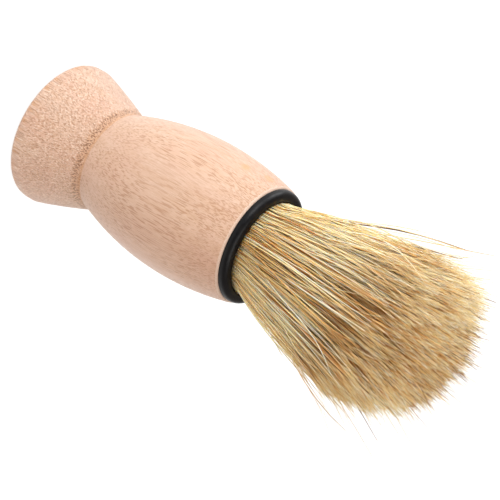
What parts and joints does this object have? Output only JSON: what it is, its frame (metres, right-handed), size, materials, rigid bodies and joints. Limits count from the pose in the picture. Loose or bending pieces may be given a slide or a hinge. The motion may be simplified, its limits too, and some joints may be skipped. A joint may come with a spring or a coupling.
{
  "type": "neck duster brush",
  "caption": "Barber's neck duster: turned pale wood handle with a flared foot and narrow waist, black plastic ferrule and a domed fan of natural bristles that flexes at its root.",
  "frame": {"origin": "centre of the flat underside of the handle's foot, on which the brush stands", "axes": "+Z runs along the brush's axis from the foot to the bristle tips; +X is the side to which the bristles flex at positive joint values; +Y completes a right-handed frame"},
  "size_m": [0.039, 0.039, 0.1096],
  "materials": {
    "handle_wood": "matte",
    "adhesive": "satin",
    "ferrule_plastic": "satin",
    "setting_resin": "gloss",
    "binding_thread": "matte",
    "bristle": "satin"
  },
  "bodies": {
    "brush": {"handle": "handle_wood", "adhesive_bed": "adhesive", "ferrule": "ferrule_plastic", "resin_plug": "setting_resin", "binding_thread": "binding_thread", "bristle_root": "bristle"},
    "tuft": {"bristle_tuft": "bristle"}
  },
  "joints": [
    {"name": "bristle_flex", "type": "hinge", "parent": "brush", "child": "tuft", "pos_m": [0, 0, 0.0661], "axis": [0, 1, 0], "range_deg": [-25, 25], "stiffness_Nm_per_rad": 0.09}
  ]
}
